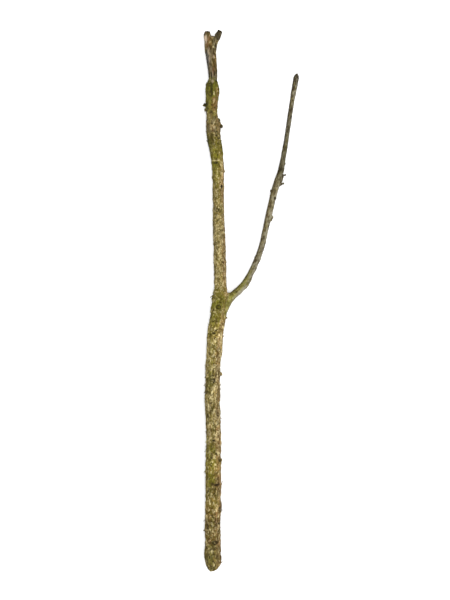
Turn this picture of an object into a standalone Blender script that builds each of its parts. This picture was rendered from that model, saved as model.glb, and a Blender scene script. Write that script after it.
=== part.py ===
"""A fallen tree branch, lying on the ground as it would be seen from above.

A lower stem forks into a thicker upper stem, which ends in two broken stubs, and a thin side branch.
The stem runs along Y with its butt at -Y, the fork spreads along X, and the ground is at Z = 0.
Lengths are in metres in the scene, and in millimetres in the tables.
"""

import math

import bmesh
import bpy
from mathutils import Vector, noise

MM = 0.001

# Each limb is a row of stations: how far along the branch from its butt, how far to the side,
# the gap below the bark, and the limb's radius, all in millimetres.
STEM = (
    (-30, 1, 0.0, 12.0),
    (-8, 0, 0.0, 12.0),
    (13, 0, 0.0, 12.2),
    (29, -0.6, 0.0, 12.6),
    (43, 0, 0.2, 12.0),
    (67, -1.4, 0.5, 12.0),
    (94, 0, 1.1, 11.9),
    (127, 0.3, 1.9, 12.0),
    (157, -0.1, 2.6, 11.9),
    (187, 0.6, 3.0, 11.6),
    (223, 0.2, 3.2, 11.1),
    (253, -1.4, 2.8, 11.9),
    (283, -0.6, 2.6, 11.3),
    (307, -0.4, 2.4, 11.3),
    (331, 1.6, 1.8, 11.9),
    (355, 3.0, 1.6, 12.1),
    (379, 6.9, 1.6, 12.1),
    (397, 9.2, 1.7, 12.2),
    (415, 10.4, 2.4, 11.0),
    (433, 10.8, 3.2, 9.6),
    (463, 10.1, 3.8, 9.4),
    (493, 9.4, 3.7, 9.4),
    (529, 8.0, 3.2, 9.0),
    (565, 7.6, 2.6, 8.8),
    (592, 7.5, 1.9, 8.8),
    (613, 6.4, 1.3, 9.2),
    (634, 3.9, 0.5, 10.2),
    (655, 0.4, 0.0, 10.6),
    (670, -0.3, 0.0, 10.7),
    (685, -2.2, 1.3, 8.8),
    (700, -2.4, 0.7, 9.4),
    (718, -1.4, 0.1, 10.6),
    (729, -1.0, 1.0, 9.5),
    (736, -0.6, 3.6, 6.9),
    (741, -0.6, 4.2, 6.6),
    (753, -0.9, 4.6, 7.1),
    (769, -2.6, 4.8, 7.7),
    (783, -3.3, 5.0, 7.2),
    (793, -2.4, 5.8, 6.2),
    (801, -0.9, 6.6, 4.9),
)
SIDE_BRANCH = (
    (369, 8.4, 6.8, 6.8),
    (390, 14.3, 6.4, 7.2),
    (404, 22.0, 6.6, 6.4),
    (414, 30.2, 7.2, 6.0),
    (423, 39.2, 7.7, 5.9),
    (432, 48.0, 8.2, 5.9),
    (446, 55.6, 8.8, 5.0),
    (463, 63.9, 8.8, 4.6),
    (487, 72.8, 8.0, 4.7),
    (510, 78.0, 7.0, 4.5),
    (532, 83.0, 5.9, 5.0),
    (548, 86.7, 5.2, 5.0),
    (570, 92.0, 4.0, 5.2),
    (584, 96.3, 3.2, 5.2),
    (601, 101.4, 2.5, 4.5),
    (619, 105.1, 1.7, 4.1),
    (639, 108.7, 1.0, 3.8),
    (661, 112.1, 0.4, 3.6),
    (685, 115.6, 0.1, 3.6),
    (709, 119.3, 0.0, 3.6),
    (728, 122.6, 0.1, 3.6),
    (743, 125.3, 0.4, 3.2),
    (747, 125.9, 1.5, 1.8),
)
LEFT_STUB = (
    (766, -5.3, 5.6, 4.8),
    (781, -7.2, 5.4, 5.5),
    (796, -8.3, 5.8, 5.4),
    (804, -8.9, 6.2, 5.6),
    (809, -8.6, 8.2, 4.0),
)
RIGHT_STUB = (
    (769, -1.5, 5.6, 4.5),
    (784, 0.5, 5.6, 4.6),
    (796, 4.5, 6.4, 4.4),
    (805, 8.4, 7.4, 4.3),
    (810, 10.6, 8.4, 3.9),
)
STEPS_BETWEEN_STATIONS = 4
STEM_SIDES = 18
THIN_SIDES = 12
STUB_SIDES = 10

# The bark swells and dips by a share of the limb's radius, in lumps longer than they are wide.
LUMP_SHARE = 0.055
LUMP_WIDTH = 9 * MM
LUMP_STRETCH = 1.8

# Where it bears on the ground the bark is crushed flat by this much.
WORN = 0.6 * MM

# The butt was cut through on a slant, and the cut faces down and away.
BUTT_CUT_POINT = Vector((0, 13.0, 12.0)) * MM
BUTT_CUT_FACES = Vector((0.12, -0.68, -0.73))

# The limbs part at the fork: the upper stem above the crotch, the side branch past its collar.
UPPER_STEM_FROM = Vector((10.6, 423.0, 13.0)) * MM
UPPER_STEM_HEADS = Vector((0.03, 1.0, 0.05))
SIDE_BRANCH_FROM = Vector((34.5, 418.5, 13.0)) * MM
SIDE_BRANCH_HEADS = Vector((0.71, 0.70, 0.06))
FORK_GAP = 0.3 * MM

# Bark has grown over the crotch in a rounded web, tall enough to close the gap between the limbs.
CROTCH_WEB_MIDDLE = Vector((24.0, 410.5, 13.6)) * MM
CROTCH_WEB_REACH = Vector((8.0, 8.0, 6.6)) * MM

# Spurs and knobs that stand out of the bark: along, angle round the limb, slant to the tip,
# how far out of the bark the tip is, and the radii at the bark and at the tip, in mm and degrees.
STEM_SPURS = (
    (699, 176, -4, 4.6, 2.6, 1.0),
    (692, 184, 0, 1.6, 4.2, 2.6),
    (673, 2, -42, 5.6, 4.6, 3.0),
    (600, 4, -10, 2.6, 1.5, 0.8),
    (577, 38, 20, 1.2, 2.8, 1.9),
    (538, 118, 25, 1.1, 2.6, 1.7),
    (463, 14, 10, 1.2, 2.6, 1.7),
    (507, 250, 30, 2.4, 2.2, 1.3),
    (640, 300, 25, 1.6, 2.4, 1.6),
)
LOWER_SPURS = (
    (384, -8, -30, 3.0, 2.9, 1.6),
    (414, 2, 48, 3.2, 2.4, 1.0),
    (409, 174, 10, 1.2, 3.0, 1.6),
    (328, 6, 15, 0.9, 3.2, 1.8),
    (295, 0, 5, 2.2, 3.8, 2.4),
    (238, 214, 30, 3.4, 2.8, 1.5),
    (166, -4, 10, 1.6, 2.6, 1.6),
    (154, 182, 35, 2.2, 1.4, 0.7),
    (130, 8, 5, 2.4, 1.8, 0.8),
    (116, 236, 25, 1.8, 2.6, 1.7),
    (93, 4, -55, 3.0, 1.5, 0.7),
)
SIDE_SPURS = (
    (530, -4, 12, 2.6, 3.8, 2.0),
    (558, 28, 20, 1.0, 1.9, 1.2),
    (570, 180, 15, 1.2, 2.4, 1.3),
    (579, 2, 20, 5.6, 3.4, 1.4),
    (593, 4, 12, 4.6, 1.9, 1.0),
    (611, 0, 20, 1.2, 1.9, 1.0),
    (478, 250, 25, 1.6, 1.8, 1.1),
)

# Eyes are the scars of lost twigs: a low collar with a pit in it, at an angle round the limb.
STEM_EYES = ((616, 100, 3.4, 1.5),)
LOWER_EYES = (
    (396, 96, 4.2, 2.2),
    (357, 100, 4.0, 1.7),
    (285, 92, 4.3, 2.3),
    (198, 86, 3.6, 1.6),
    (44, 84, 4.2, 2.0),
)
EYE_STANDS = 1.2
EYE_PIT_DEPTH = 1.9

# A spur or a collar starts inside the bark, at this share of the limb's radius.
SPUR_ROOT = 0.45


def centre_and_radius(stations, along):
    """The limb's centre and radius, in metres, at a distance in millimetres from the butt."""
    for (y0, x0, lift0, r0), (y1, x1, lift1, r1) in zip(stations, stations[1:]):
        if along <= y1:
            break
    share = min(1.0, max(0.0, (along - y0) / (y1 - y0)))
    radius = (r0 + (r1 - r0) * share) * MM
    lift = (lift0 + (lift1 - lift0) * share) * MM
    side = (x0 + (x1 - x0) * share) * MM
    return Vector((side, along * MM, lift + radius - WORN)), radius


def lumps(point, radius):
    """How far the bark stands out or dips at a point."""
    place = Vector((point.x, point.y / LUMP_STRETCH, point.z)) / LUMP_WIDTH
    return radius * LUMP_SHARE * noise.fractal(place, 1.0, 2.0, 3)


def bark_colour(name, colour, roughness=0.85):
    """A material of one colour, for bark or bare wood."""
    material = bpy.data.materials.new(name)
    material.use_nodes = True
    surface = material.node_tree.nodes["Principled BSDF"]
    surface.inputs["Base Color"].default_value = (*colour, 1.0)
    surface.inputs["Roughness"].default_value = roughness
    surface.inputs["Metallic"].default_value = 0.0
    return material


def mesh_from(obj, name):
    """A mesh object made from what another object shows, with its loose caps welded on."""
    bpy.context.view_layer.update()
    shown = obj.evaluated_get(bpy.context.evaluated_depsgraph_get())
    made = bpy.data.objects.new(name, bpy.data.meshes.new_from_object(shown))
    made.matrix_world = obj.matrix_world
    bpy.data.objects.remove(obj)
    shape = bmesh.new()
    shape.from_mesh(made.data)
    bmesh.ops.remove_doubles(shape, verts=shape.verts, dist=0.01 * MM)
    bmesh.ops.recalc_face_normals(shape, faces=shape.faces)
    shape.to_mesh(made.data)
    shape.free()
    return made


def limb(name, stations, sides):
    """A tapering limb through its stations, with the bark's lumps in it."""
    curve = bpy.data.curves.new(name + "_line", "CURVE")
    curve.dimensions = "3D"
    curve.bevel_depth = 1.0
    curve.bevel_resolution = (sides - 4) // 2
    curve.use_fill_caps = True
    curve.resolution_u = STEPS_BETWEEN_STATIONS
    line = curve.splines.new("BEZIER")
    line.radius_interpolation = "CARDINAL"
    line.bezier_points.add(len(stations) - 1)
    for point, (along, _, _, _) in zip(line.bezier_points, stations):
        point.co, point.radius = centre_and_radius(stations, along)
        point.handle_left_type = point.handle_right_type = "AUTO"
    guide = bpy.data.objects.new(name + "_line", curve)
    bpy.context.scene.collection.objects.link(guide)
    tube = mesh_from(guide, name)
    for vertex in tube.data.vertices:
        radius = centre_and_radius(stations, vertex.co.y / MM)[1]
        vertex.co += vertex.normal * lumps(vertex.co, radius)
    return tube


def cut_away(obj, point, direction):
    """Cuts the object through a point, throws away what lies in the direction, and closes the cut."""
    shape = bmesh.new()
    shape.from_mesh(obj.data)
    everything = shape.verts[:] + shape.edges[:] + shape.faces[:]
    bmesh.ops.bisect_plane(
        shape, geom=everything, plane_co=point, plane_no=direction, clear_outer=True
    )
    rim = [edge for edge in shape.edges if edge.is_boundary]
    bmesh.ops.contextual_create(shape, geom=rim)
    bmesh.ops.recalc_face_normals(shape, faces=shape.faces)
    shape.to_mesh(obj.data)
    shape.free()


def round_stub(name, base, heading, length, base_radius, tip_radius, sides=7):
    """A short tapering stub that starts at a point inside the bark and heads out of it."""
    shape = bmesh.new()
    bmesh.ops.create_cone(
        shape, cap_ends=True, segments=sides, radius1=base_radius, radius2=tip_radius, depth=length
    )
    mesh = bpy.data.meshes.new(name)
    shape.to_mesh(mesh)
    shape.free()
    stub = bpy.data.objects.new(name, mesh)
    stub.rotation_mode = "QUATERNION"
    stub.rotation_quaternion = heading.to_track_quat("Z", "Y")
    stub.location = base + heading.normalized() * length / 2
    return stub


def rounded_lump(name, middle, reach):
    """A smooth lump round a point."""
    shape = bmesh.new()
    bmesh.ops.create_icosphere(shape, subdivisions=2, radius=1.0)
    bmesh.ops.scale(shape, verts=shape.verts, vec=reach)
    bmesh.ops.translate(shape, verts=shape.verts, vec=middle)
    mesh = bpy.data.meshes.new(name)
    shape.to_mesh(mesh)
    shape.free()
    return bpy.data.objects.new(name, mesh)


def out_of_the_bark(angle, towards_tip):
    """The way a spur points: an angle round the limb, 0 to the right and 90 up, and a slant to the tip."""
    round_it = math.radians(angle)
    slant = math.radians(towards_tip)
    return Vector(
        (
            math.cos(round_it) * math.cos(slant),
            math.sin(slant),
            math.sin(round_it) * math.cos(slant),
        )
    )


def spurs(prefix, stations, rows):
    """The spurs of one limb, each rooted well inside its bark."""
    for number, (along, angle, slant, out, base_radius, tip_radius) in enumerate(rows):
        centre, radius = centre_and_radius(stations, along)
        heading = out_of_the_bark(angle, slant)
        root = radius * SPUR_ROOT
        length = radius - root + out * MM
        base = centre + out_of_the_bark(angle, 0) * root
        yield round_stub(
            f"{prefix}_spur_{number}", base, heading, length, base_radius * MM, tip_radius * MM
        )


def eye_collars(prefix, stations, rows):
    """The raised collars of the eyes."""
    for number, (along, angle, collar, _) in enumerate(rows):
        centre, radius = centre_and_radius(stations, along)
        heading = out_of_the_bark(angle, 0)
        base = centre + heading * radius * SPUR_ROOT
        length = radius * (1 - SPUR_ROOT) + EYE_STANDS * MM
        yield round_stub(
            f"{prefix}_collar_{number}", base, heading, length, collar * 1.7 * MM, collar * MM, 10
        )


def eye_pits(prefix, stations, rows):
    """What is taken out of the eyes."""
    for number, (along, angle, _, pit) in enumerate(rows):
        centre, radius = centre_and_radius(stations, along)
        heading = out_of_the_bark(angle, 0)
        floor = radius + (EYE_STANDS - EYE_PIT_DEPTH) * MM
        base = centre + heading * floor
        length = 2 * EYE_PIT_DEPTH * MM
        yield round_stub(
            f"{prefix}_pit_{number}", base, heading, length, pit * 0.8 * MM, pit * 1.6 * MM, 8
        )


def helper_collection(name, objects):
    """A collection of shapes that are only joined to a limb or taken out of it."""
    group = bpy.data.collections.new(name)
    bpy.context.scene.collection.children.link(group)
    for obj in objects:
        group.objects.link(obj)
        obj.hide_render = True
        obj.display_type = "WIRE"
    return group


def combine(obj, group, operation):
    """A Boolean between an object and every shape of a collection."""
    step = obj.modifiers.new(operation.title() + "_" + group.name, "BOOLEAN")
    step.solver = "EXACT"
    step.operation = operation
    step.operand_type = "COLLECTION"
    step.collection = group


def ground_block():
    """The ground, which takes off what would be below it."""
    shape = bmesh.new()
    bmesh.ops.create_cube(shape, size=1.0)
    bmesh.ops.scale(shape, verts=shape.verts, vec=(2.0, 3.0, 0.1))
    bmesh.ops.translate(shape, verts=shape.verts, vec=(0.0, 0.4, -0.05))
    mesh = bpy.data.meshes.new("ground")
    shape.to_mesh(mesh)
    shape.free()
    return bpy.data.objects.new("ground", mesh)


def middle_of(objects):
    """The middle, along X and Y, of the box round what the objects show."""
    bpy.context.view_layer.update()
    graph = bpy.context.evaluated_depsgraph_get()
    corners = [
        obj.matrix_world @ Vector(corner)
        for obj in objects
        for corner in obj.evaluated_get(graph).bound_box
    ]
    xs = [corner.x for corner in corners]
    ys = [corner.y for corner in corners]
    return Vector(((min(xs) + max(xs)) / 2, (min(ys) + max(ys)) / 2, 0.0))


def clear_scene():
    """Removes what the scene starts with."""
    for obj in list(bpy.data.objects):
        bpy.data.objects.remove(obj)


def build():
    """Grows the limbs, parts them at the fork, adds spurs and eyes, and lays them on the ground."""
    half_gap = FORK_GAP / 2
    up = UPPER_STEM_HEADS.normalized()
    aside = SIDE_BRANCH_HEADS.normalized()

    lower = limb("lower_stem", STEM, STEM_SIDES)
    cut_away(lower, BUTT_CUT_POINT, BUTT_CUT_FACES.normalized())
    cut_away(lower, UPPER_STEM_FROM - up * half_gap, up)
    upper = limb("upper_stem", STEM, STEM_SIDES)
    cut_away(upper, UPPER_STEM_FROM + up * half_gap, -up)
    collar = limb("side_branch_collar", SIDE_BRANCH, THIN_SIDES)
    cut_away(collar, SIDE_BRANCH_FROM - aside * half_gap, aside)
    side = limb("side_branch", SIDE_BRANCH, THIN_SIDES)
    cut_away(side, SIDE_BRANCH_FROM + aside * half_gap, -aside)
    left_stub = limb("left_stub", LEFT_STUB, STUB_SIDES)
    right_stub = limb("right_stub", RIGHT_STUB, STUB_SIDES)

    joined_to = {
        lower: [
            collar,
            rounded_lump("crotch_web", CROTCH_WEB_MIDDLE, CROTCH_WEB_REACH),
            *spurs("lower", STEM, LOWER_SPURS),
            *eye_collars("lower", STEM, LOWER_EYES),
        ],
        upper: [
            left_stub,
            right_stub,
            *spurs("upper", STEM, STEM_SPURS),
            *eye_collars("upper", STEM, STEM_EYES),
        ],
        side: list(spurs("side", SIDE_BRANCH, SIDE_SPURS)),
    }
    taken_from = {
        lower: list(eye_pits("lower", STEM, LOWER_EYES)),
        upper: list(eye_pits("upper", STEM, STEM_EYES)),
        side: [],
    }
    colours = {
        lower: bark_colour("lower_bark", (0.21, 0.18, 0.075)),
        upper: bark_colour("upper_bark", (0.20, 0.16, 0.065)),
        side: bark_colour("side_bark", (0.17, 0.15, 0.08)),
    }

    branch = bpy.data.collections.new("fallen_branch")
    bpy.context.scene.collection.children.link(branch)
    ground = ground_block()
    for obj in (lower, upper, side):
        branch.objects.link(obj)
        growths = helper_collection(obj.name + "_growths", joined_to[obj])
        combine(obj, growths, "UNION")
        cutters = helper_collection(obj.name + "_cutters", taken_from[obj] + [ground])
        combine(obj, cutters, "DIFFERENCE")
        obj.data.materials.clear()
        obj.data.materials.append(colours[obj])

    offset = middle_of((lower, upper, side))
    for obj in bpy.data.objects:
        obj.location -= offset


clear_scene()
build()
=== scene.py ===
"""A fallen tree branch laid on a pale floor, seen from straight above."""

import math

import bmesh
import bpy
import numpy as np
from mathutils import Matrix, Vector, noise


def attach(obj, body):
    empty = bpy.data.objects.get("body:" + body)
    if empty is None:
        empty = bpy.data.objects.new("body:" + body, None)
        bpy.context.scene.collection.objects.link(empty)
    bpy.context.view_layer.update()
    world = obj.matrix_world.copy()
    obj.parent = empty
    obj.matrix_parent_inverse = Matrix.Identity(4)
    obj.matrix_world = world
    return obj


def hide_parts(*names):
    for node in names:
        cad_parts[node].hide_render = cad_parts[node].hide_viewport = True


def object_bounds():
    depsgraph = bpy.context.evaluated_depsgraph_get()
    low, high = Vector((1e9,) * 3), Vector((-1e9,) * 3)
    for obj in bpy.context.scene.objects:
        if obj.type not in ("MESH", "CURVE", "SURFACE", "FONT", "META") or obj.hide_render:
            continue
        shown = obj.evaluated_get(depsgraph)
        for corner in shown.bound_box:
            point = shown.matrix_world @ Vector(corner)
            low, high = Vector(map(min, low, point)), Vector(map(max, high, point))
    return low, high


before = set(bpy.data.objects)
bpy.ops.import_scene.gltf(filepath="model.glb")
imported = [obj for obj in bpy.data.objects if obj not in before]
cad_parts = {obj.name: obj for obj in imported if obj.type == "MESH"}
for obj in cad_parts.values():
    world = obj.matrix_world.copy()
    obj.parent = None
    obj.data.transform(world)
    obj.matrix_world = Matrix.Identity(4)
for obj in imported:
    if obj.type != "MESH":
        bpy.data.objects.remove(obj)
SOLIDS_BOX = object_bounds()
SOLIDS_TOP = SOLIDS_BOX[1][2]

# The branch is one grown piece of wood in its bark, in three limbs. The bark of all three is worked as
# one skin over copies of the solids, with its plates, cracks, pits and eyes, and with the bare broken
# wood at the top, and is then parted at the fork where the solids are parted.

MM = 0.001

# The tables measure from the foot, in millimetres: along the branch, and to the right of it.
FOOT = np.array((-56.028, -405.947, 0.0)) * MM

# The middle line of a limb: along, to the right, height above the ground, and the radius there.
STEM_LINE = (
    (-30, 1, 11.4, 12), (13, 0, 11.6, 12.2), (43, 0, 11.6, 12), (94, 0, 12.4, 11.9),
    (157, -0.1, 13.9, 11.9), (223, 0.2, 13.7, 11.1), (253, -1.4, 14.1, 11.9), (307, -0.4, 13.1, 11.3),
    (355, 3, 13.1, 12.1), (379, 6.9, 13.1, 12.1), (397, 9.2, 13.3, 12.2), (415, 10.4, 12.8, 11),
    (433, 10.8, 12.2, 9.6), (493, 9.4, 12.5, 9.4), (529, 8, 11.6, 9), (592, 7.5, 10.1, 8.8),
    (613, 6.4, 9.9, 9.2), (634, 3.9, 10.1, 10.2), (655, 0.4, 10, 10.6), (670, -0.3, 10.1, 10.7),
    (685, -2.2, 9.5, 8.8), (700, -2.4, 9.5, 9.4), (718, -1.4, 10.1, 10.6), (736, -0.6, 9.9, 6.9),
    (753, -0.9, 11.1, 7.1), (769, -2.6, 11.9, 7.7), (801, -1.5, 11.6, 7.5), (816, -1, 11.6, 7.5),
)
SIDE_LINE = (
    (369, 8.4, 13, 6.8), (390, 14.3, 13, 7.2), (404, 22, 12.4, 6.4), (414, 30.2, 12.6, 6),
    (423, 39.2, 13, 5.9), (432, 48, 13.5, 5.9), (446, 55.6, 13.2, 5), (463, 63.9, 12.8, 4.6),
    (487, 72.8, 12.1, 4.7), (510, 78, 10.9, 4.5), (532, 83, 10.3, 5), (548, 86.7, 9.6, 5),
    (584, 96.3, 7.8, 5.2), (601, 101.4, 6.4, 4.5), (639, 108.7, 4.2, 3.8), (685, 115.6, 3.1, 3.6),
    (728, 122.6, 3.1, 3.6), (752, 126.6, 3, 3.2),
)
LINE_STEP = 1.5

# Where the solids are parted: a point, and the way the limb heads there.
STEM_PART = (Vector((10.6, 423.0, 13.0)), Vector((0.03, 1.0, 0.05)))
SIDE_PART = (Vector((34.5, 418.5, 13.0)), Vector((0.71, 0.70, 0.06)))
BETWEEN_THE_LIMBS = 26.0
FORK_GAP = 0.3 * MM
REACH_OVER_GAP = 0.7 * MM

# The fold between the limbs: its middle, how far it is eased around there, and how many times.
CROTCH = (23.0, 413.0, 13.0)
CROTCH_REACH = 13.0 * MM
CROTCH_ROUNDS = 14

# The slanted cut at the butt: a point on it, and the way it faces.
BUTT_CUT = (np.array((0.0, 13.0, 12.0)), np.array((0.12, -0.68, -0.73)))

SKIN_VOXEL = 0.7 * MM

# How far the bark may sink or rise from the solids, in millimetres, and stand above their box.
DEEPEST = -2.0
HIGHEST = 0.8
LUMP_HIGHEST = 1.5
SPARE_HEIGHT = 0.6 * MM


def from_foot(point):
    """A point of the tables, in metres in the frame."""
    return Vector(point) * MM + Vector(FOOT)


def smooth_step(low, high, value):
    """0 below low, 1 above high, and an even curve between."""
    share = np.clip((value - low) / (high - low), 0.0, 1.0)
    return share * share * (3.0 - 2.0 * share)


def fine_line(table):
    """A limb's middle line as a close row of points with radii, its kinks eased, in millimetres."""
    rows = np.array(table, float)
    along = np.arange(rows[0, 0], rows[-1, 0], LINE_STEP)
    columns = [np.interp(along, rows[:, 0], rows[:, k]) for k in (1, 2, 3)]
    ease = np.ones(9) / 9
    eased = [np.convolve(np.pad(column, 4, mode="edge"), ease, mode="valid") for column in columns]
    return np.stack([eased[0], along, eased[1]], axis=1), eased[2]


def copy_of_node(name):
    """A CAD node's mesh with its loose triangles merged."""
    shape = bmesh.new()
    shape.from_mesh(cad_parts[name].data)
    bmesh.ops.remove_doubles(shape, verts=shape.verts, dist=0.005 * MM)
    return shape


def reach_across(shape, part):
    """Moves the face that a limb was parted at a little over the gap, so that the limbs join."""
    middle = from_foot(part[0])
    heading = part[1].normalized()
    for vertex in shape.verts:
        from_cut = (vertex.co - middle).dot(heading)
        if abs(from_cut + FORK_GAP / 2) < 0.02 * MM and (vertex.co - middle).length < 20 * MM:
            vertex.co += heading * REACH_OVER_GAP


def mesh_of(shape, name="part"):
    """A shape as a mesh."""
    mesh = bpy.data.meshes.new(name)
    shape.to_mesh(mesh)
    shape.free()
    return mesh


def add_shape(shape, other):
    """Adds another shape to a shape."""
    mesh = mesh_of(other)
    shape.from_mesh(mesh)
    bpy.data.meshes.remove(mesh)


def placed(name, data):
    """A mesh, a light or a camera as an object in the scene."""
    made = bpy.data.objects.new(name, data)
    bpy.context.scene.collection.objects.link(made)
    return made


def joined_limbs():
    """The three limbs in one mesh, closed over by a fine even skin."""
    limbs = copy_of_node("lower_stem")
    reach_across(limbs, STEM_PART)
    reach_across(limbs, SIDE_PART)
    for name in ("upper_stem", "side_branch"):
        add_shape(limbs, copy_of_node(name))
    skin = placed("skin", mesh_of(limbs, "skin"))
    even = skin.modifiers.new("Even", "REMESH")
    even.mode = "VOXEL"
    even.voxel_size = SKIN_VOXEL
    ease = skin.modifiers.new("Ease", "SMOOTH")
    ease.factor = 0.5
    ease.iterations = 5
    bpy.context.view_layer.update()
    shown = skin.evaluated_get(bpy.context.evaluated_depsgraph_get())
    made = bpy.data.meshes.new_from_object(shown)
    bpy.data.objects.remove(skin)
    return made


def ease_the_crotch(mesh):
    """Rounds off the fold between the limbs, as bark does."""
    middle = from_foot(CROTCH)
    shape = bmesh.new()
    shape.from_mesh(mesh)
    near = [vertex for vertex in shape.verts if (vertex.co - middle).length < CROTCH_REACH]
    for _ in range(CROTCH_ROUNDS):
        bmesh.ops.smooth_vert(
            shape, verts=near, factor=0.5, use_axis_x=True, use_axis_y=True, use_axis_z=True
        )
    shape.to_mesh(mesh)
    shape.free()


def read_vectors(data, field="vector"):
    """The places, normals or straight grain of a mesh's points, in three columns."""
    values = np.empty(len(data) * 3, np.float32)
    data.foreach_get(field, values)
    return values.reshape(-1, 3).astype(float)


def along_the_stem(points):
    """Straightens the stem: how far right of its middle, along it and above its middle."""
    line, radii = fine_line(STEM_LINE)
    along = points[:, 1]
    right = points[:, 0] - np.interp(along, line[:, 1], line[:, 0])
    above = points[:, 2] - np.interp(along, line[:, 1], line[:, 2])
    radius = np.interp(along, line[:, 1], radii)
    return np.stack([right, along, above], axis=1), radius


def along_the_side_branch(points):
    """Straightens the side branch in the same way, from where it leaves the stem's middle."""
    line, radii = fine_line(SIDE_LINE)
    heading = np.gradient(line, axis=0)
    heading /= np.linalg.norm(heading, axis=1)[:, None]
    length = np.concatenate([[0.0], np.cumsum(np.linalg.norm(np.diff(line, axis=0), axis=1))])
    nearest = np.empty(len(points), int)
    for start in range(0, len(points), 20000):
        some = points[start:start + 20000]
        apart = ((some[:, None, :] - line[None, :, :]) ** 2).sum(axis=2)
        nearest[start:start + 20000] = apart.argmin(axis=1)
    offset = points - line[nearest]
    ahead = heading[nearest]
    sideways = np.stack([ahead[:, 1], -ahead[:, 0], np.zeros(len(ahead))], axis=1)
    sideways /= np.linalg.norm(sideways, axis=1)[:, None]
    along = line[0, 1] + length[nearest] + (offset * ahead).sum(axis=1)
    right = (offset * sideways).sum(axis=1)
    return np.stack([right, along, offset[:, 2]], axis=1), radii[nearest]


# The side branch's grain is set this far to the right of the stem's, so that the two don't repeat.
SIDE_SHIFT = SIDE_LINE[0][1] - 5.2


def straightened(points):
    """Each point in the limbs' own straight grain, how much it belongs to the side branch, and the
    limb's radius there."""
    on_stem, stem_radius = along_the_stem(points)
    on_side, side_radius = along_the_side_branch(points)
    off_stem = np.hypot(on_stem[:, 0], on_stem[:, 2]) / stem_radius
    off_side = np.hypot(on_side[:, 0], on_side[:, 2]) / side_radius
    branch = smooth_step(-0.3, 0.3, off_stem - off_side) * smooth_step(372, 392, points[:, 1])
    grain = on_stem + (on_side + (SIDE_SHIFT, 0.0, 0.0) - on_stem) * branch[:, None]
    radius = stem_radius + (side_radius - stem_radius) * branch
    return grain, branch, radius


def along_zones(along, table):
    """A value that changes along a limb, from a table of distance and value."""
    return np.interp(along, [row[0] for row in table], [row[1] for row in table])


def on_both(along, branch, stem_table, side_table):
    """A value that changes along both limbs, from a table for each."""
    return along_zones(along, stem_table) * (1.0 - branch) + along_zones(along, side_table) * branch


def cloud(points, size, stretch=1.0, octaves=3, seed=0.0):
    """A cloudy noise from about -1 to 1 over points in millimetres, stretched along the grain."""
    places = points / (size, size * stretch, size) + seed
    return np.array([noise.fractal(place, 0.9, 2.0, octaves) for place in places.tolist()])


def plates(points, width, length, seed=0.0):
    """Breaks the bark into plates: each point's plate by a number 0 to 1, how near it is to a crack,
    and how far its plate leans up there."""
    bend = cloud(points, width * 1.6, 1.4, 2, seed + 5.0) * 0.32
    places = points / (width, length, width) + seed + bend[:, None]
    middles = np.empty((len(places), 3))
    crack = np.empty(len(places))
    for i, place in enumerate(places.tolist()):
        distances, nearest = noise.voronoi(place)
        crack[i] = distances[1] - distances[0]
        middles[i] = nearest[0]
    number = np.sin(middles @ (12.9898, 78.233, 37.719)) * 43758.5453
    number -= np.floor(number)
    off = places - middles
    turn = number * 40.0
    lean = off[:, 1] * np.cos(turn) + off[:, 0] * np.sin(turn)
    return number, 1.0 - smooth_step(0.0, 0.2, crack), lean


# What the bark is like along the stem: coarse plates below the fork, finer above it, knobbly and
# green near the top, and none where the wood is bare.
COARSE = ((0, 1), (400, 0.9), (425, 0.4), (600, 0.4), (650, 0.85), (733, 0.9), (740, 0))
FINE = ((0, 0.6), (400, 0.6), (425, 1), (640, 0.9), (733, 0.7), (740, 0))
GREEN = (
    (0, 0.4), (30, 0.4), (45, 0.2), (80, 0.15), (100, 0.35), (130, 0.45), (165, 0.55), (190, 0.4),
    (230, 0.3), (300, 0.35), (335, 0.25), (360, 0.3), (378, 0.6), (400, 0.85), (418, 0.65), (440, 0.2),
    (540, 0.2), (575, 0.35), (600, 0.5), (640, 0.78), (655, 0.35), (665, 0.1), (682, 0.25), (692, 0.6),
    (712, 0.9), (735, 1), (745, 0.1), (785, 0.35), (800, 0.1),
)
DRY = (
    (0, 0.2), (35, 0.3), (60, 0.45), (110, 0.4), (150, 0.25), (185, 0.45), (250, 0.65), (330, 0.6),
    (375, 0.4), (410, 0.3), (430, 0.65), (470, 0.8), (530, 0.7), (570, 0.5), (605, 0.35), (640, 0.2),
    (655, 0.35), (680, 0.3), (692, 0.2), (735, 0.05),
)
BROWN = (
    (0, 0.35), (35, 0.65), (90, 0.65), (115, 0.5), (150, 0.4), (180, 0.5), (260, 0.3), (340, 0.2),
    (430, 0.25), (560, 0.3), (600, 0.3), (645, 0.3), (660, 0.55), (680, 0.5), (690, 0.4), (735, 0.1),
)
SIDE_GREEN = (
    (369, 0.9), (400, 1), (445, 0.9), (470, 0.4), (490, 0.1), (550, 0.1), (590, 0.4), (640, 0.3),
    (800, 0.1),
)
SIDE_DRY = (
    (369, 0.4), (430, 0.35), (480, 0.2), (520, 0.3), (560, 0.45), (590, 0.45), (620, 0.25), (680, 0.1),
    (800, 0.05),
)
SIDE_BROWN = ((369, 0.1), (480, 0.2), (540, 0.35), (600, 0.4), (660, 0.3), (800, 0.3))
GREY = ((0, 0.2), (30, 0.15), (48, 0), (650, 0), (660, 0.25), (680, 0.25), (695, 0.1), (740, 0))
SIDE_GREY = ((369, 0), (445, 0.25), (475, 0.95), (530, 0.9), (570, 0.75), (620, 0.85), (680, 1), (800, 1))
# Painted light on the right side of the stem, by how far along: it makes the bark there drier, pinker and
# less green.
RIGHT_PAINTED_LIGHT = ((0, 1), (600, 1), (645, 0.4), (740, 0.4))
SIDE_DARK = ((369, 0), (500, 0), (600, 0.2), (640, 0.35), (720, 0.4), (745, 0.75), (800, 1))
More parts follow.
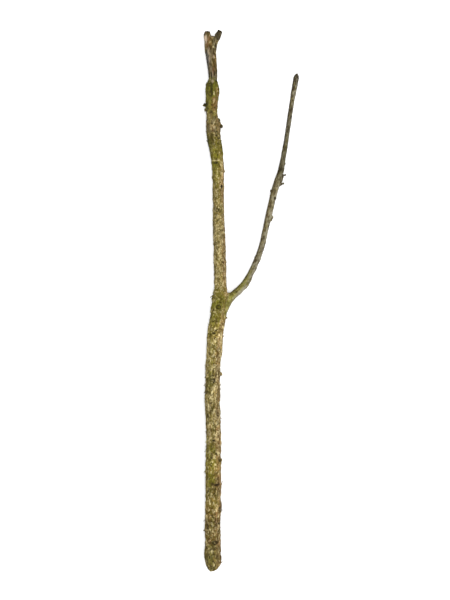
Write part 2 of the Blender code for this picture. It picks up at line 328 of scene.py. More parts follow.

# Where the bark holds more damp it is darker.
DAMP = (
    (8, 0.33), (28, 0.36), (50, 0.4), (73, 0.65), (95, 0), (122, 0.62), (152, 0), (182, 0.36),
    (212, 0.38), (242, 0.65), (272, 0.48), (302, 0.46), (332, 0.29), (362, 0.01), (392, 0.29),
    (423, 0.41), (452, 0.5), (482, 0.56), (512, 0.64), (542, 0.56), (572, 0.6), (598, 0.2), (620, 0.27),
    (644, 0.56), (668, 0.25), (689, 0.15), (706, 0.31), (723, 0.33), (744, 0.85), (760, 0.68),
    (778, 0.61), (800, 0.54),
)
SIDE_DAMP = (
    (369, 0), (448, 0.45), (471, 0.5), (498, 0.65), (531, 0.41), (562, 0.44), (593, 0.35), (624, 0.9),
    (655, 0.75), (685, 0.82), (715, 0.66), (744, 0.14), (766, 0.56),
)
# Painted shade on the left side, away from the lamp's light, by how far along the stem. The side branch
# has it in full.
LEFT_PAINTED_SHADE = (
    (0, 0.5), (40, 0.25), (400, 0.3), (440, 0.5), (590, 0.45), (620, 0.5), (735, 0.5), (745, 0.2),
    (800, 0.2),
)
# Painted light on the right side of the side branch, by how far along, laid on as pale grey.
SIDE_PAINTED_LIGHT = (
    (369, 0), (405, 0.2), (425, 0.9), (500, 0.9), (560, 0.7), (620, 0.7), (700, 0.8), (776, 0.9),
)

# Marks on the side that lies uppermost: along, to the right, half as long, half as wide, strength.
PALE_MARKS = (
    (31, -1.5, 3.2, 2.6, 0.9), (33, 8.5, 3, 1.2, 0.8), (10, 1.8, 4, 1.2, 0.8), (13, 9.4, 5, 1, 0.6),
    (46, 0.3, 1.2, 2.2, 1), (70, -1.2, 2.6, 2.2, 1), (92, 0.5, 3, 1.8, 0.7), (103, 0.9, 2.6, 1.5, 0.8),
    (103, -5, 2.6, 1.5, 0.8), (118, 6, 5, 1, 0.5), (161, 3.6, 2.2, 1.6, 0.7), (172, 3, 3.6, 1.5, 0.9),
    (176, 8.4, 4, 1.6, 0.7), (206, 2.4, 1.8, 2.4, 1), (206, -6.3, 2.2, 2, 0.8),
    (216, -6.6, 1.6, 2.4, 0.6), (222, 6.4, 4.6, 1.8, 0.8), (236, 4.6, 3.8, 1.8, 0.8),
    (241, 1.8, 3.4, 2, 0.95), (247, -5.8, 2, 3, 0.8), (266, -1.6, 4, 1.8, 0.9), (276, 6.8, 5, 1.4, 0.7),
    (309, 2.4, 1.8, 3.4, 1), (309, -8.2, 2.6, 1.5, 0.8), (319, -5.4, 2.4, 1.8, 0.7),
    (329, 2, 3, 1.6, 0.8), (333, 8.8, 4.6, 1.4, 0.6), (363, -1.9, 2.6, 1.3, 0.8), (363, 2, 2.2, 1.8, 0.9),
    (389, 2.5, 1.6, 3, 0.6), (389, 11.3, 1.6, 2.2, 0.6), (352, 12.5, 6, 1.6, 0.6),
    (598, 13, 3.6, 1.6, 0.9), (615.4, 1.2, 0.8, 4.2, 0.6), (366, -7, 8, 3, 0.35), (441, 5, 1.5, 1.6, 0.5),
    (518, 5.2, 1.8, 1.6, 0.6), (527, 8, 4, 1.4, 0.4), (467, 15.2, 1.6, 1.2, 0.6), (716, 1.8, 4, 1.2, 0.7),
    (640, 0, 2.6, 1.2, 0.4), (785.5, 0.4, 1.6, 1.6, 1),
)
# Dark marks, each also sunk a little: some, as at 357 and 611.9 along, are painted shadow below lifted
# flakes and leaf scars; the rest are dark spots.
DARK_MARKS = (
    (130.5, 5.4, 1.7, 4.8, 1), (22, -4.8, 3, 1.5, 0.5), (5.5, -3, 2, 2, 0.5), (13, -8.6, 4, 1.4, 0.6),
    (171, -8.1, 2, 1.5, 0.9), (171, -2.1, 1.5, 1.4, 0.8), (197, 1.6, 1, 2.8, 1), (357, 0.9, 1.3, 3, 0.7),
    (418.5, 34, 1.6, 1.8, 1), (463, 15, 1.9, 1.6, 1), (577, 12.8, 2.4, 1.8, 1), (611.9, 4.2, 1.6, 5, 1),
    (609, 8.4, 1.6, 1.6, 0.7), (559.5, 92.6, 2.4, 2, 1), (743, 124.6, 4, 3.4, 0.75),
    (649, 8.6, 1.6, 2, 0.9), (659, 5.6, 1.6, 1.4, 0.8), (653, 5.2, 1.6, 1.6, 0.8),
    (544, 1.6, 3.4, 1.2, 0.6), (735, -8.8, 1.8, 1.8, 0.9), (736, 5.2, 1.8, 1.6, 0.9),
    (699, -10.6, 3, 2.6, 0.9), (690, -10.4, 3.2, 1.8, 0.6), (667, 12.4, 3.6, 2.6, 0.85),
    (602, 101, 2.4, 2.2, 0.9), (586, 88.8, 1.6, 1.4, 0.6), (22, 6.6, 2.4, 1.2, 0.7),
    (166.5, 10.2, 2.4, 1.6, 0.9), (600, 17, 1.8, 1.6, 0.8), (415, -0.2, 1, 2, 0.7),
    (410.5, -1.4, 1, 2, 0.7), (36, 4.6, 2.6, 0.9, 0.6), (53, 1.6, 5, 0.8, 0.6), (224, 0.4, 2.8, 1, 0.6),
    (296, 8.2, 3.6, 0.8, 0.5), (419.5, 23, 1.3, 1.4, 0.8), (404, 10, 2.2, 0.9, 0.6),
)

# Stains darken the surface without a hollow.
STAINS = (
    (784, 3.6, 8, 1.8, 0.6), (787, 3.4, 2.4, 1.3, 0.95), (775, -2.6, 6, 1.6, 0.4),
    (805, 8.6, 10, 6.4, 0.72), (810, 9.8, 3, 5.4, 1), (809, -8.6, 2.4, 6, 0.7), (806, -13.4, 4, 2, 0.7),
    (767, 1.2, 3, 1.6, 0.4), (756, 2.6, 4, 1.4, 0.4), (740, 3, 4, 1.6, 0.5), (721, -2.4, 12, 2.8, 0.8),
    (666, 13.4, 4, 2.6, 0.7), (774, 4.4, 2.6, 1.6, 0.4), (748, 4.6, 3, 1.6, 0.4), (778, -2, 3, 1.2, 0.3),
    (751, -5, 4, 1.2, 0.5), (764, -9.6, 4, 1.4, 0.6), (688, -3, 3, 2.6, 0.6), (737, -8.4, 3, 1.6, 0.8),
    (737, 5, 3, 1.6, 0.8), (784, -7.6, 3, 1.4, 0.6), (745, -7, 8, 1.4, 0.5), (699, -8.8, 9, 2, 0.5),
    (643, -7, 12, 2, 0.5), (645, -1.5, 12, 3.4, 0.4), (745, -6.4, 8, 2.2, 0.8), (778, 0.5, 8, 1.6, 0.6),
    (396, 8.4, 2, 2, 0.3), (760, -4, 8, 1.6, 0.4), (742, -2.5, 7, 1, 1), (747, 2, 6, 0.9, 1),
    (579, 103.5, 3, 3.4, 0.6), (593, 107, 3, 3, 0.6),
)
RUST_MARKS = (
    (46, -5.6, 4.6, 3.4, 1), (130, 3, 3, 6, 0.5), (56, -3, 6, 1.2, 0.6), (138, 8, 9, 1.2, 0.9),
    (62, 0.6, 10, 1, 0.7), (60, -5.8, 9, 1, 0.5), (318, 4.6, 8, 1, 0.6), (326, 6.8, 9, 0.9, 0.6),
    (789, -9.4, 5.4, 2, 1), (806, -11, 3, 3, 0.7), (437, 8.2, 6, 1.4, 0.4), (662, 0, 5, 3, 0.5),
    (90, -1, 7, 1, 0.5), (205, 8, 7, 1.2, 0.5), (750, 0, 6, 1.6, 0.8), (799, -6.6, 6, 2.4, 0.6),
)
SILVER_MARKS = (
    (798, -11.4, 8, 2, 1), (780, -7, 6, 1.8, 0.6), (767, -5.4, 5, 1.6, 0.6), (754, -4, 5, 1.4, 0.5),
    (733, -1, 5, 3, 0.5), (771, 0.4, 4, 1.2, 0.5), (776, -4.2, 6, 1.4, 0.2), (745, -0.6, 5, 0.9, 0.5),
    (741, 4.2, 4, 0.8, 0.5),
)
SLATE_MARKS = ((764, -9.4, 18, 3.6, 1), (758, -7.6, 9, 1.6, 0.8))
BROWN_MARKS = (
    (700, 2, 12, 5, 1), (716, 6, 9, 2.6, 0.6), (790, -3.6, 10, 4, 0.8), (765, 2.4, 22, 3.4, 0.7),
)

# Knots: along, to the right, half as long, half as wide, how dark the ring is, how pale the heart is.
KNOTS = (
    (396, 8.4, 3, 3.4, 1, 0), (286, -0.5, 3.4, 3.8, 1, 0.9), (541, 6.2, 2.8, 2.8, 0.9, 0),
    (44, 3.2, 2.8, 3.8, 1, 0.4),
)

# Small lumps at the edges, or dips below 0: along, to the right, half as wide, how high.
LUMPS = (
    (417.5, 0.2, 1.6, 0.6), (412.8, -1, 1.6, 1.3), (408, -2, 1.8, 1.2), (591, -1.8, 2.4, 1.1),
    (295.5, 11.4, 2.4, 1.1), (324, 12.2, 1.8, 0.8), (331, 12.4, 1.8, 0.3), (600, 16.8, 1.4, 1.3),
    (686, 8, 2, 0.9), (723, 6.6, 3, 0.8), (730, -9, 3, 0.8), (654, 11.6, 3, 0.7), (531, 88.2, 2.2, 1),
    (570, 86.6, 2.2, 0.6), (611, 107.4, 2, 0.9), (472, 62, 1.8, 0.7), (166.5, 11.2, 1.8, 0.8),
    (236, -11.8, 2.4, 0.3), (131, 12, 1.6, 1.1), (60, 12.6, 2.2, 0.7), (668, 12.2, 3.4, 0.6),
    (674, 10.6, 3, 0.8), (699, -10.6, 2.8, 0.7), (690, -9.6, 3, 0.4), (673, 11.6, 2.8, 1),
    (663, 12.6, 2.8, 0.8), (559.5, 94.2, 1.6, 0.9), (741, 124.8, 6, 1.4), (729, 124.2, 6, 1),
    (717, 122, 6, 0.7), (602, 107, 5, 1), (466, 71.1, 5, 0.8), (451, 64.5, 6, 0.9), (437, 58, 5, 0.4),
    (425, 51.6, 6, 1.1), (416, 42, 5, 1), (448, 52, 6, -0.8), (433, 41.7, 6, -0.8),
    (425.5, 34.5, 5, -0.9), (800.5, 0, 3, 1.5), (792, 6.4, 4, -1.1), (783, 6, 2.5, 0.7),
    (794, -12.3, 3, -0.6), (735.5, -8.8, 2.5, 0.9), (735.5, 7.2, 2.5, 1.1), (714, -11, 4, -0.7),
    (683, -10, 5, -1), (651.5, -9.2, 3, -0.7), (619.5, 15.7, 3, -1), (604, 17, 4, 0.8),
    (583, -0.5, 4, -0.6), (576.5, 17.2, 4, 0.9), (549, -1.4, 6, -1), (513, -1.7, 5, -1),
    (483, -0.2, 3, -0.8), (343, -9.4, 5, -0.9), (318, -10.8, 5, -0.9), (238, 12.3, 5, 1.1),
    (192.5, 13, 3.5, 0.9), (168, -11.2, 3, -0.8), (142, -11.2, 3, -0.7), (110, 10.8, 3, -1.2),
    (80, -12, 5, -0.5), (5, 8, 5, 0.9), (5, -8.5, 5, -1.8), (806, 3.3, 3, 1.3), (443, 19.6, 6, -0.7),
    (426, 0.6, 3.5, -0.9), (173, 11.1, 4, -0.7),
)


# The bark ends in a sleeve around the bare wood: how far along, and a notch in its upper edge by its
# depth, its place to the right and its half width.
SLEEVE_END = 736.5
NOTCH_DEEP, NOTCH_RIGHT, NOTCH_WIDE = 6.0, -1.2, 3.0


def note(mesh, name, values):
    """Notes a number, or a place, at each point of a mesh."""
    kind, field = ("FLOAT", "value") if values.ndim == 1 else ("FLOAT_VECTOR", "vector")
    layer = mesh.attributes.new(name, kind, "POINT")
    layer.data.foreach_set(field, values.astype(np.float32).ravel())


def marks(points, table, ragged):
    """How strongly a table's marks colour each point, with ragged edges."""
    shade = np.zeros(len(points))
    for along, right, half_long, half_wide, strength in table:
        off = ((points[:, 1] - along) / half_long) ** 2 + ((points[:, 0] - right) / half_wide) ** 2
        shade = np.maximum(shade, strength * (1.0 - smooth_step(0.35, 1.35, off + ragged * 0.45)))
    return shade


def work_the_bark(mesh):
    """Raises plates, cracks, pits, knots and wood grain on the skin, and notes what each point is, with
    where shade and light are painted on it.
    """
    places = (read_vectors(mesh.vertices, "co") - FOOT) / MM
    outward = read_vectors(mesh.vertex_normals)
    grain, branch, radius = straightened(places)
    along = grain[:, 1]
    above = grain[:, 2] / radius
    sleeve_edge = SLEEVE_END - NOTCH_DEEP * np.exp(-((places[:, 0] - NOTCH_RIGHT) / NOTCH_WIDE) ** 2)
    ragged_edge = cloud(grain, 4.0, 1.0, 2, 3.0) * 2.2
    bare = smooth_step(-1.2, 1.2, along + ragged_edge - sleeve_edge) * (1.0 - branch)
    coarse = along_zones(along, COARSE) * (1.0 - branch) + 0.1 * branch
    fine = along_zones(along, FINE) * (1.0 - branch) + 0.2 * branch
    broad = cloud(grain, 14.0, 1.8, 3, 11.0)
    middling = cloud(grain, 3.4, 1.5, 3, 23.0)
    small = cloud(grain, 1.7, 1.6, 2, 31.0)
    streaks = cloud(grain, 1.5, 9.0, 3, 47.0)
    grooves = smooth_step(0.15, 0.5, cloud(grain, 1.2, 14.0, 2, 59.0))
    plate, plate_crack, plate_lean = plates(grain, 4.0, 7.0, 0.0)
    chip, chip_crack, chip_lean = plates(grain, 2.2, 3.6, 60.0)
    cracked = smooth_step(-0.4, 0.3, broad + 0.3)
    crack = np.maximum(plate_crack * coarse * cracked, 0.7 * chip_crack * fine)
    hollows = smooth_step(0.3, 0.55, cloud(grain, 3.2, 1.1, 2, 71.0)) * (1.0 - bare)
    uppermost = smooth_step(-0.85, -0.45, above)
    pale = marks(places, PALE_MARKS, middling) * uppermost
    dark = marks(places, DARK_MARKS, small) * uppermost

    from_cut = (places - BUTT_CUT[0]) @ (BUTT_CUT[1] / np.linalg.norm(BUTT_CUT[1]))
    off_middle = np.hypot(grain[:, 0], grain[:, 2]) / radius
    inside = 1.0 - smooth_step(0.8, 0.88, off_middle + 0.05 * middling)
    cut = smooth_step(-1.1, -0.5, from_cut) * inside
    broken = bare * smooth_step(0.35, 0.8, outward[:, 1])

    rise = coarse * (0.5 * (plate - 0.5) - 0.75 * plate_crack * cracked + 0.55 * plate_lean)
    rise += fine * (0.22 * (chip - 0.5) - 0.25 * chip_crack + 0.3 * chip_lean)
    rise += 0.34 * middling * (0.5 + coarse) + 0.12 * small
    rise += 0.5 * broad * (0.4 + 0.6 * coarse)
    rise += (1.0 - bare) * 0.2 * streaks
    rise -= 0.55 * hollows * (0.5 + 0.5 * coarse)
    rise *= 1.0 - bare
    rise += bare * (0.42 * streaks + 0.12 * middling - 0.6 * grooves)
    rise += 0.25 * pale - 0.7 * dark
    for knot_along, knot_right, half_long, half_wide, ring, heart in KNOTS:
        off = np.hypot((places[:, 1] - knot_along) / half_long, (places[:, 0] - knot_right) / half_wide)
        top = smooth_step(6.0, 10.0, places[:, 2])
        moat = np.exp(-(((off - 0.8) / 0.34) ** 2)) * top
        rim = np.exp(-(((off - 1.35) / 0.3) ** 2)) * top
        middle = (1.0 - smooth_step(0.3, 0.6, off)) * top
        rise += 0.45 * rim - 0.6 * moat
        dark = np.maximum(dark, moat * ring)
        pale = np.maximum(pale, middle * heart)
    rise *= 1.0 - 0.4 * branch
    rise = np.clip(rise, DEEPEST, HIGHEST)
    for lump_along, lump_right, half_wide, high in LUMPS:
        off = (places[:, 1] - lump_along) ** 2 + (places[:, 0] - lump_right) ** 2
        rise += high * np.exp(-(off + (0.6 * grain[:, 2]) ** 2) / half_wide ** 2)
    rise += 0.3 * streaks * cut - rise * cut
    rise += broken * (1.2 * cloud(places, 1.5, 1.0, 2, 88.0) + 0.6)
    moved = places * MM + FOOT + outward * (np.clip(rise, DEEPEST, LUMP_HIGHEST) * MM)[:, None]
    moved[:, 2] = np.clip(moved[:, 2], 0.0, SOLIDS_TOP + SPARE_HEIGHT)
    mesh.vertices.foreach_set("co", moved.astype(np.float32).ravel())

    green = on_both(along, branch, GREEN, SIDE_GREEN)
    brown = on_both(along, branch, BROWN, SIDE_BROWN)
    side = grain[:, 0] - SIDE_SHIFT * branch
    # Painted shade on the left side of each limb, darkest at the far left.
    painted_shade_left = along_zones(along, LEFT_PAINTED_SHADE) * (1.0 - branch) + branch
    painted_shade_left *= smooth_step(0.3 - 0.2 * branch, 0.95, -side / radius)
    # Painted light: the right side of the side branch turns pale grey.
    painted_light_side_right = smooth_step(0.0, 0.7, side / radius) * branch * along_zones(along, SIDE_PAINTED_LIGHT)
    turned_brown = marks(places, BROWN_MARKS, middling) * uppermost
    dark = np.maximum(dark, marks(places, STAINS, middling) * uppermost)
    dark_tip_and_edge_shade = along_zones(along, SIDE_DARK) * branch * smooth_step(-0.3, 0.5, streaks)
    # Painted shade at both edges of the side branch near its tip.
    painted_edge_shade_at_tip = smooth_step(690, 775, along) * branch * smooth_step(0.25, 0.75, np.abs(side) / radius)
    dark_tip_and_edge_shade = np.maximum(dark_tip_and_edge_shade, 0.9 * painted_edge_shade_at_tip)
    notes = {
        "plate": plate,
        "crack": crack,
        "hollow": hollows,
        "pale": pale,
        # Dark pits, spots, stains, knot rings and the dark tip, with painted shade at the tip's edges and
        # painted shadow below some lifted flakes.
        "dark": np.maximum(dark, dark_tip_and_edge_shade),
        "rust": marks(places, RUST_MARKS, middling) * uppermost,
        "silver": marks(places, SILVER_MARKS, streaks) * uppermost,
        "slate": marks(places, SLATE_MARKS, streaks) * uppermost,
        "green": green * (1.0 - turned_brown),
        "dry": on_both(along, branch, DRY, SIDE_DRY),
        "brown": np.maximum(brown, turned_brown),
        "grey": on_both(along, branch, GREY, SIDE_GREY),
        "smooth": branch,
        "bare": bare,
        "cut": cut,
        "broken": broken,
        # Painted shade: the lower half of each limb darkens from above its middle downward, where it
        # turns away from the light.
        "painted_shade_below": smooth_step(0.55, -0.15, above),
        "damp": on_both(along, branch, DAMP, SIDE_DAMP),
        "painted_shade_left": painted_shade_left,
        "painted_light_side_right": painted_light_side_right,
        # Painted light on the right side of the stem.
        "painted_light_right": smooth_step(-0.2, 0.8, side / radius) * (1.0 - branch) * along_zones(along, RIGHT_PAINTED_LIGHT),
        "coarse": coarse,
        "grain": grain,
    }
    for name, values in notes.items():
        note(mesh, name, values)


def on_one_side(shape, left):
    """The points to the left, or to the right, of the gap between the two upper limbs."""
    edge = from_foot((BETWEEN_THE_LIMBS, 0.0, 0.0)).x
    return [vertex for vertex in shape.verts if (vertex.co.x < edge) == left]


def clear_beyond(shape, part, ahead, points):
    """Cuts the skin among these points where a limb parts, and clears what is ahead of it or behind."""
    chosen = set(points)
    edges = [one for one in shape.edges if all(vertex in chosen for vertex in one.verts)]
    faces = [one for one in shape.faces if all(vertex in chosen for vertex in one.verts)]
    bmesh.ops.bisect_plane(
        shape,
        geom=points[::-1] + edges + faces,
        dist=0.0,
        plane_co=from_foot(part[0]),
        plane_no=part[1].normalized(),
        clear_outer=ahead,
        clear_inner=not ahead,
    )


def close_the_cuts(shape):
    """Closes each open cut with a flat face that keeps a sharp rim."""
    rims = [edge for edge in shape.edges if edge.is_boundary]
    made = bmesh.ops.holes_fill(shape, edges=rims, sides=0)["faces"]
    for face in shape.faces:
        face.smooth = True
    for face in made:
        face.smooth = False
        for edge in face.edges:
            edge.smooth = False
    bmesh.ops.triangulate(shape, faces=made)


def as_piece(mesh, name, finish):
    """A mesh as a piece of its own, which rides the root."""
    mesh.materials.append(finish)
    piece = placed(name, mesh)
    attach(piece, "root")
    return piece


def limb_of_skin(skin, name, finish):
    """One limb's share of the skin as a piece of its own, in place of its solid."""
    shape = bmesh.new()
    shape.from_mesh(skin)
    if name == "lower_stem":
        clear_beyond(shape, STEM_PART, True, on_one_side(shape, True))
        clear_beyond(shape, SIDE_PART, True, on_one_side(shape, False))
    else:
        on_stem = name == "upper_stem"
        clear_beyond(shape, STEM_PART if on_stem else SIDE_PART, False, shape.verts[:])
        bmesh.ops.delete(shape, geom=on_one_side(shape, not on_stem), context="VERTS")
    close_the_cuts(shape)
    piece = as_piece(mesh_of(shape, name + "_bark"), name + "_bark", finish)
    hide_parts(name)
    return piece


class Value:
    """A shader socket that adds, takes away and multiplies like a number."""

    def __init__(self, finish, socket):
        self.finish = finish
        self.socket = socket

    def maths(self, operation, first, second):
        return self.finish.node("ShaderNodeMath", {"operation": operation}, {0: first, 1: second})

    def __add__(self, other):
        return self.maths("ADD", self, other)

    def __sub__(self, other):
        return self.maths("SUBTRACT", self, other)

    def __rsub__(self, other):
        return self.maths("SUBTRACT", other, self)

    def __mul__(self, other):
        return self.maths("MULTIPLY", self, other)

    __radd__ = __add__
    __rmul__ = __mul__


class Finish:
    """A material made of shader nodes."""

    def __init__(self, name):
        self.material = bpy.data.materials.new(name)
        self.material.use_nodes = True
        self.tree = self.material.node_tree
        self.surface = self.tree.nodes["Principled BSDF"]

    def feed(self, socket, given):
        """Gives a socket a value, a colour or a link."""
        if isinstance(given, Value):
            self.tree.links.new(given.socket, socket)
        elif isinstance(given, tuple) and socket.type == "RGBA":
            socket.default_value = (*given, 1.0)
        else:
            socket.default_value = given

    def node(self, kind, settings=None, sockets=None, output=0):
        """A node with its settings made first, then its sockets, as the value of one output."""
        made = self.tree.nodes.new(kind)
        for key, setting in (settings or {}).items():
            setattr(made, key, setting)
        for key, given in (sockets or {}).items():
            self.feed(made.inputs[key], given)
        return Value(self, made.outputs[output])

    def noted(self, name, output="Fac"):
        """What the bark was noted to be at each point."""
        return self.node("ShaderNodeAttribute", {"attribute_name": name}, output=output)

    def vectors(self, operation, *given, output=0):
        """Maths with vectors."""
        sockets = dict(enumerate(given))
        return self.node("ShaderNodeVectorMath", {"operation": operation}, sockets, output)

    def grain(self, stretch):
        """The place in the straightened limb, in millimetres, drawn out along the grain."""
        return self.vectors("MULTIPLY", self.noted("grain", "Vector"), (1.0, 1.0 / stretch, 1.0))

    def clouds(self, size, stretch, detail=3.0, roughness=0.6):
        """A cloudy noise from 0 to 1 with features of about a size in millimetres."""
        sockets = {
            "Vector": self.grain(stretch),
            "Scale": 0.5 / size,
            "Detail": detail,
            "Roughness": roughness,
        }
        return self.node("ShaderNodeTexNoise", {}, sockets)

    def chips(self, width, stretch, feature, output):
        """Ragged little chips of bark of about a width in millimetres, drawn out along the grain."""
        place = self.grain(stretch)
        ragged = {"Vector": place, "Scale": 0.7 / width, "Detail": 3.0}
        push = self.node("ShaderNodeTexNoise", {}, ragged, "Color")
        pushed = self.vectors("MULTIPLY_ADD", push, (width * 0.9,) * 3, place)
        sockets = {"Vector": pushed, "Scale": 1.0 / width}
        return self.node("ShaderNodeTexVoronoi", {"feature": feature}, sockets, output)

    def chip_number(self, width, stretch):
        """Each chip's own number from 0 to 1."""
        shade = self.chips(width, stretch, "F1", "Color")
        return self.node("ShaderNodeSeparateColor", {}, {0: shade})

    def rising(self, value, low, high):
        """0 where a value is below low and 1 where it is above high."""
        settings = {"interpolation_type": "SMOOTHSTEP", "clamp": True}
        return self.node("ShaderNodeMapRange", settings, {0: value, 1: low, 2: high, 3: 0.0, 4: 1.0})

    def laid_over(self, below, above, share, way="MIX"):
        """One colour laid over another, by a share."""
        settings = {"data_type": "RGBA", "blend_type": way, "clamp_factor": True}
        return self.node("ShaderNodeMix", settings, {0: share, 6: below, 7: above}, 2)

    def layered(self, colour, *layers):
        """Colours laid over a first one in turn, each by its share."""
        for above, share in layers:
            colour = self.laid_over(colour, above, share)
        return colour


# The floor is lit past white, so a tone seen in that light has this share of it as its own colour.
LIGHT_SHARE = 0.84


def tone(red, green, blue):
    """The colour that looks like a tone on the 0 to 255 scale in this light."""
    return tuple(((c / 255 + 0.055) / 1.055) ** 2.4 * LIGHT_SHARE for c in (red, green, blue))


OLIVE = tone(142, 130, 56)
OCHRE = tone(188, 162, 94)
MOSS_GREEN = tone(126, 126, 32)
BARK_BROWN = tone(146, 104, 54)
DARK_BROWN = tone(92, 64, 32)
PINK_BROWN = tone(174, 134, 94)
DULL_GREY = tone(116, 109, 90)
PALE_GREY = tone(162, 155, 132)
DARK_GREY = tone(74, 62, 42)
CREAM = tone(248, 230, 170)
DULL_OLIVE = tone(82, 70, 20)
# The dark of cracks and grooves, also laid on as painted shade on the lower and left sides of the limbs.
CREVICE_AND_PAINTED_SHADE = tone(50, 36, 12)
DAMP_SHARE = (0.3, 0.3, 0.28)
# The dark of pits and stains, also used for painted shade and painted shadow.
PIT_AND_PAINTED_SHADE = tone(26, 20, 6)
RUST = tone(128, 86, 52)
GREY_WOOD = tone(146, 134, 104)
BROWN_WOOD = tone(128, 100, 52)
SILVER_WOOD = tone(214, 190, 164)
SLATE_WOOD = tone(74, 74, 76)
BROKEN_WOOD = tone(96, 70, 40)
CUT_WOOD = tone(150, 128, 90)
CUT_RING = tone(110, 86, 54)


# Chips of bark too small for the mesh: how wide, and how much longer than wide.
CHIPS = (2.1, 1.7)
FINE_CHIPS = (1.1, 1.4)


def bark_finish():
    """Weathered bark: olive to ochre plates, cream flakes, dark cracks, a green film and bare wood, with
    painted shade on the lower and left sides and painted light on the right.
    """
    finish = Finish("weathered_bark")
    noted = finish.noted
    rising = finish.rising
    clouds = finish.clouds
    patches = clouds(9.0, 1.6, 3.0, 0.55)
    mottle = clouds(2.8, 1.3)
    specks = clouds(1.3, 1.2, 2.0)
    streaks = clouds(1.6, 9.0)
    chip = finish.chip_number(*CHIPS)
    fine_chip = finish.chip_number(*FINE_CHIPS)
    gap = rising(finish.chips(*CHIPS, "DISTANCE_TO_EDGE", "Distance"), 0.1, 0.0)
    fine_gap = rising(finish.chips(*FINE_CHIPS, "DISTANCE_TO_EDGE", "Distance"), 0.12, 0.0)
    plate = noted("plate")
    coarse = noted("coarse")
    smooth = noted("smooth")
    bare = noted("bare")
    green = noted("green")
    dry = noted("dry")
    grey = noted("grey")
    painted_light_right = noted("painted_light_right")
    rough_here = 1.0 - 0.9 * smooth

    # Painted light on the right side of the stem turns its bark drier and ochre.
    dry_and_painted_light = dry + painted_light_right * 0.35 - 0.1
    dry_here = rising(dry_and_painted_light + (patches - 0.5) * 1.3 + (plate - 0.5) * 0.6, 0.1, 0.95)
    brown_here = rising(noted("brown") + (streaks - 0.5) * 1.8 + (chip - 0.5) * 0.5, 0.25, 1.0)
    # Painted light on the right side also turns it pink-brown, broken up by streaks and patches, and less
    # green.
    pink_here = rising(painted_light_right * 0.6 + (streaks - 0.5) * 1.6 + (patches - 0.5), 0.2, 0.7)
    green_less_in_painted_light = green + 0.15 - painted_light_right * 0.3
    green_here = rising(green_less_in_painted_light + (patches - 0.5) * 1.8 + (specks - 0.5) * 0.6, 0.3, 0.95)
    flakes = rising(chip + mottle - 0.5 + (dry - 0.5) * 0.55, 0.72, 0.9)
    small_flakes = rising(fine_chip + (mottle - 0.5) * 0.8 + (dry - 0.5) * 0.55, 0.74, 0.88)
    broad_flakes = rising(plate + (specks - 0.5) * 0.9 + (dry - 0.5) * 0.35, 0.78, 0.95)
    flakes = flakes * (0.45 + 0.35 * coarse) + small_flakes * 0.6
    flakes = flakes + broad_flakes * (0.1 + 0.5 * coarse)
    fissures = rising(clouds(1.3, 6.0), 0.46, 0.36)
    shaded = rising(chip + mottle - 0.5, 0.38, 0.08)
    fine_shaded = rising(fine_chip + mottle - 0.5, 0.35, 0.1)
    sunk = rising(plate + specks - 0.5, 0.4, 0.05)
    blotches = clouds(2.4, 2.4) + clouds(1.5, 1.8, 2.0)
    broken_up = 0.25 + rising(mottle, 0.42, 0.6) * 0.75
    colour = finish.layered(
        OLIVE,
        (OCHRE, dry_here),
        (BARK_BROWN, brown_here * 0.85),
        (PINK_BROWN, pink_here * 0.7),
        (MOSS_GREEN, green_here * 0.85),
        (RUST, noted("rust") * 0.85),
        (CREAM, flakes * (0.8 - 0.4 * green_here)),
        (CREAM, noted("pale") * 0.9),
        (DARK_BROWN, fissures * (0.15 + 0.45 * coarse)),
        (DULL_OLIVE, shaded * rough_here * 0.65),
        (DULL_OLIVE, fine_shaded * rough_here * 0.4),
        (DULL_OLIVE, sunk * coarse * 0.45),
        (DULL_GREY, grey * rising(mottle, 0.2, 0.5) * 0.85),
        # Painted light on the right side of the side branch.
        (PALE_GREY, noted("painted_light_side_right") * rising(mottle, 0.3, 0.55)),
        (DARK_GREY, (grey * 0.55 + smooth * 0.35) * rising(blotches, 1.02, 0.86)),
        (PALE_GREY, grey * rising(blotches, 1.05, 1.18) * 0.8),
        (CREVICE_AND_PAINTED_SHADE, gap * broken_up * rising(patches, 0.4, 0.6) * rough_here * 0.5),
        (CREVICE_AND_PAINTED_SHADE, noted("crack") * broken_up * 0.8),
        (CREVICE_AND_PAINTED_SHADE, noted("hollow") * (0.3 + 0.4 * coarse)),
        # Painted shade on the lower half of each limb.
        (CREVICE_AND_PAINTED_SHADE, noted("painted_shade_below") * 0.45),
        # Painted shade on the left side of each limb.
        (CREVICE_AND_PAINTED_SHADE, noted("painted_shade_left") * 0.6),
    )

    fibres = clouds(0.6, 14.0, 3.0, 0.65)
    grime = clouds(1.8, 2.2)
    wood = finish.layered(
        GREY_WOOD,
        (BROWN_WOOD, rising(streaks + noted("brown") * 0.4, 0.45, 0.75)),
        (CREVICE_AND_PAINTED_SHADE, rising(streaks, 0.5, 0.4) * 0.55),
        (DULL_OLIVE, rising(grime, 0.5, 0.4) * 0.85),
        (CREAM, rising(grime, 0.56, 0.68) * 0.55),
        (DULL_OLIVE, rising(specks, 0.48, 0.36) * 0.5),
        (MOSS_GREEN, rising(green + (mottle - 0.5), 0.2, 0.8) * 0.5),
        (SLATE_WOOD, noted("slate") * 0.9),
        (RUST, noted("rust") * rising(grime, 0.35, 0.55)),
        (SILVER_WOOD, noted("silver") * rising(grime, 0.3, 0.48)),
        (CREAM, rising(fibres, 0.55, 0.68) * 0.35),
        (CREVICE_AND_PAINTED_SHADE, rising(fibres, 0.48, 0.36) * 0.65),
        (CREAM, noted("pale") * 0.7),
        (BROKEN_WOOD, noted("broken") * 0.8),
    )

